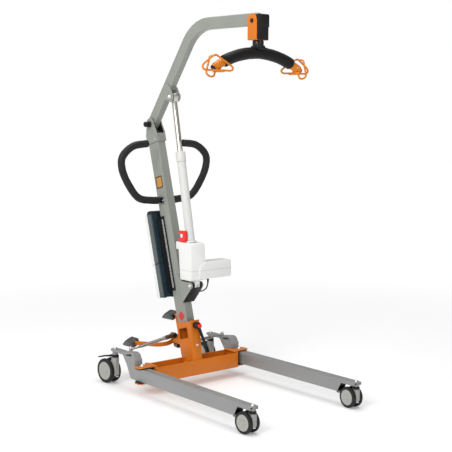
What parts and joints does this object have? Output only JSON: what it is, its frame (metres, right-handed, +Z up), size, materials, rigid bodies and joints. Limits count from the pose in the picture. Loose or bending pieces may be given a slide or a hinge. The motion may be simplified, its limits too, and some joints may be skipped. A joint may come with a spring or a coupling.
{
  "type": "mobile patient lift",
  "caption": "Mobile passive patient lift: spreading legs on twin-wheel castors, raked mast, electric ram, cranked boom and padded sling bar.",
  "frame": {"origin": "floor point under the middle of the lift's outline", "axes": "+Z up, +Y towards the push handle, +X to the lift's left side as the attendant behind it sees the patient"},
  "size_m": [0.5688, 1.005, 1.4625],
  "materials": {
    "grey_paint": "satin",
    "orange_paint": "satin",
    "black_plastic": "matte",
    "black_paint": "satin",
    "black_foam": "matte",
    "white_plastic": "satin",
    "dark_case": "satin",
    "red_plastic": "gloss",
    "zinc": "satin",
    "chrome": "polished",
    "castor_grey": "satin",
    "tyre_black": "matte",
    "cable_black": "matte"
  },
  "bodies": {
    "base": {"base_channel": "orange_paint", "mast_socket": "orange_paint", "leg_pin_left": "zinc", "leg_pin_right": "zinc", "leg_bush_left": "black_plastic", "leg_bush_right": "black_plastic"},
    "mast": {"mast_tube": "grey_paint", "mast_head": "grey_paint", "head_insert": "black_plastic", "handle_bar": "black_paint", "handle_grip_left": "black_foam", "handle_grip_right": "black_foam", "handle_sleeve": "zinc", "actuator_bracket": "grey_paint", "bracket_wedge": "black_plastic", "actuator_lower_pin": "zinc", "box_rail": "black_plastic", "control_case": "dark_case", "control_cover": "white_plastic"},
    "battery": {"battery_case": "dark_case", "battery_cover": "white_plastic"},
    "stop_button": {"stop_button": "red_plastic"},
    "boom_knob": {"boom_knob": "black_plastic"},
    "boom": {"boom_tube": "grey_paint", "boom_bracket": "black_paint", "rod_pin": "zinc", "yoke_bolt": "black_paint"},
    "actuator": {"motor_housing": "white_plastic", "actuator_tube": "white_plastic", "tube_collar": "white_plastic", "motor_cable": "cable_black"},
    "rod": {"lift_rod": "chrome", "rod_eye": "white_plastic"},
    "quick_release": {"quick_release": "red_plastic"},
    "yoke": {"yoke_strap": "orange_paint", "yoke_block": "black_plastic"},
    "spreader": {"swivel_hub": "black_paint", "spreader_frame": "orange_paint", "spreader_foam": "black_foam", "spreader_plug_left": "black_plastic", "spreader_plug_right": "black_plastic"},
    "clamp": {"clamp_lever": "black_paint"},
    "clamp_button": {"clamp_button": "red_plastic"},
    "pedal": {"pedal_lever": "orange_paint", "pedal_pad_left": "black_plastic", "pedal_pad_right": "black_plastic"},
    "leg_left": {"leg_left": "grey_paint"},
    "tie_rod_left": {"tie_rod_left": "zinc"},
    "castor_front_left": {"castor_fork_front_left": "castor_grey"},
    "wheels_front_left": {"castor_wheels_front_left": "tyre_black"},
    "castor_rear_left": {"castor_fork_rear_left": "castor_grey"},
    "wheels_rear_left": {"castor_wheels_rear_left": "tyre_black"},
    "brake_left": {"brake_pedal_left": "black_plastic"},
    "leg_right": {"leg_right": "grey_paint"},
    "tie_rod_right": {"tie_rod_right": "zinc"},
    "castor_front_right": {"castor_fork_front_right": "castor_grey"},
    "wheels_front_right": {"castor_wheels_front_right": "tyre_black"},
    "castor_rear_right": {"castor_fork_rear_right": "castor_grey"},
    "wheels_rear_right": {"castor_wheels_rear_right": "tyre_black"},
    "brake_right": {"brake_pedal_right": "black_plastic"}
  },
  "joints": [
    {"name": "mast_lift", "type": "slide", "parent": "base", "child": "mast", "axis": [0, 0.2678, 0.9635], "range_m": [0, 0.12]},
    {"name": "battery_lift", "type": "slide", "parent": "mast", "child": "battery", "axis": [0, 0.2678, 0.9635], "range_m": [0, 0.22]},
    {"name": "stop_press", "type": "slide", "parent": "mast", "child": "stop_button", "axis": [0, -0.9635, 0.2678], "range_m": [0, 0.004], "stiffness_N_per_m": 500},
    {"name": "boom_knob_turn", "type": "hinge", "parent": "mast", "child": "boom_knob", "pos_m": [0, 0.4456, 1.047], "axis": [1, 0, 0], "continuous": true},
    {"name": "boom_lift", "type": "hinge", "parent": "mast", "child": "boom", "pos_m": [0, 0.4456, 1.047], "axis": [1, 0, 0], "range_deg": [-4, 50]},
    {"name": "ram_tilt", "type": "hinge", "parent": "mast", "child": "actuator", "pos_m": [0, 0.1626, 0.408], "axis": [1, 0, 0], "range_deg": [-1, 3]},
    {"name": "ram_stroke", "type": "slide", "parent": "actuator", "child": "rod", "axis": [0, 0.1931, 0.9812], "range_m": [-0.155, 0.013]},
    {"name": "quick_release_pull", "type": "slide", "parent": "actuator", "child": "quick_release", "axis": [0, 0.1931, 0.9812], "range_m": [0, 0.008], "stiffness_N_per_m": 300},
    {"name": "yoke_swing", "type": "hinge", "parent": "boom", "child": "yoke", "pos_m": [0, -0.1994, 1.433], "axis": [1, 0, 0], "range_deg": [-52, 20]},
    {"name": "spreader_swivel", "type": "hinge", "parent": "yoke", "child": "spreader", "pos_m": [0, -0.2014, 1.362], "axis": [0, 0, 1], "continuous": true},
    {"name": "clamp_turn", "type": "hinge", "parent": "base", "child": "clamp", "pos_m": [0, 0.1506, 0.245], "axis": [0, -1, 0], "range_deg": [0, 180]},
    {"name": "pedal_rock", "type": "hinge", "parent": "base", "child": "pedal", "pos_m": [0, 0.2946, 0.16], "axis": [0, 1, 0], "range_deg": [0, 48]},
    {"name": "leg_spread_left", "type": "hinge", "parent": "base", "child": "leg_left", "pos_m": [0.25, 0.1826, 0.0775], "axis": [0, 0, 1], "range_deg": [-1, 13]},
    {"name": "tie_rod_turn_left", "type": "hinge", "parent": "leg_left", "child": "tie_rod_left", "pos_m": [0.23597, 0.28046, 0.155], "axis": [0, 0, 1], "range_deg": [-15, 1]},
    {"name": "castor_swivel_front_left", "type": "hinge", "parent": "leg_left", "child": "castor_front_left", "pos_m": [0.25697, -0.48336, 0.084], "axis": [0, 0, 1], "continuous": true},
    {"name": "wheel_spin_front_left", "type": "hinge", "parent": "castor_front_left", "child": "wheels_front_left", "pos_m": [0.25843, -0.4574, 0.04], "axis": [0.9984, -0.0558, 0], "continuous": true},
    {"name": "castor_swivel_rear_left", "type": "hinge", "parent": "leg_left", "child": "castor_rear_left", "pos_m": [0.24801, 0.37259, 0.12], "axis": [0, 0, 1], "continuous": true},
    {"name": "wheel_spin_rear_left", "type": "hinge", "parent": "castor_rear_left", "child": "wheels_rear_left", "pos_m": [0.25116, 0.41347, 0.05], "axis": [0.9971, -0.0767, 0], "continuous": true},
    {"name": "brake_press_left", "type": "hinge", "parent": "castor_rear_left", "child": "brake_left", "pos_m": [0.24962, 0.39353, 0.115], "axis": [-0.9971, 0.0767, 0], "range_deg": [0, 6]},
    {"name": "leg_spread_right", "type": "hinge", "parent": "base", "child": "leg_right", "pos_m": [-0.25, 0.1826, 0.0775], "axis": [0, 0, 1], "range_deg": [-13, 1]},
    {"name": "tie_rod_turn_right", "type": "hinge", "parent": "leg_right", "child": "tie_rod_right", "pos_m": [-0.23597, 0.28046, 0.155], "axis": [0, 0, 1], "range_deg": [-1, 15]},
    {"name": "castor_swivel_front_right", "type": "hinge", "parent": "leg_right", "child": "castor_front_right", "pos_m": [-0.25697, -0.48336, 0.084], "axis": [0, 0, 1], "continuous": true},
    {"name": "wheel_spin_front_right", "type": "hinge", "parent": "castor_front_right", "child": "wheels_front_right", "pos_m": [-0.25843, -0.4574, 0.04], "axis": [0.9984, 0.0558, 0], "continuous": true},
    {"name": "castor_swivel_rear_right", "type": "hinge", "parent": "leg_right", "child": "castor_rear_right", "pos_m": [-0.24801, 0.37259, 0.12], "axis": [0, 0, 1], "continuous": true},
    {"name": "wheel_spin_rear_right", "type": "hinge", "parent": "castor_rear_right", "child": "wheels_rear_right", "pos_m": [-0.25116, 0.41347, 0.05], "axis": [0.9971, 0.0767, 0], "continuous": true},
    {"name": "brake_press_right", "type": "hinge", "parent": "castor_rear_right", "child": "brake_right", "pos_m": [-0.24962, 0.39353, 0.115], "axis": [-0.9971, -0.0767, 0], "range_deg": [0, 6]},
    {"name": "clamp_button_press", "type": "slide", "parent": "clamp", "child": "clamp_button", "axis": [0, 1, 0], "range_m": [0, 0.003], "stiffness_N_per_m": 300}
  ],
  "couplings": [
    {"joint": "ram_tilt", "follows": "boom_lift", "ratio": 0.037},
    {"joint": "ram_stroke", "follows": "boom_lift", "m_per_rad": -0.172},
    {"joint": "leg_spread_left", "follows": "pedal_rock", "ratio": 0.25},
    {"joint": "leg_spread_right", "follows": "pedal_rock", "ratio": -0.25},
    {"joint": "tie_rod_turn_left", "follows": "pedal_rock", "ratio": -0.2775},
    {"joint": "tie_rod_turn_right", "follows": "pedal_rock", "ratio": 0.2775}
  ]
}
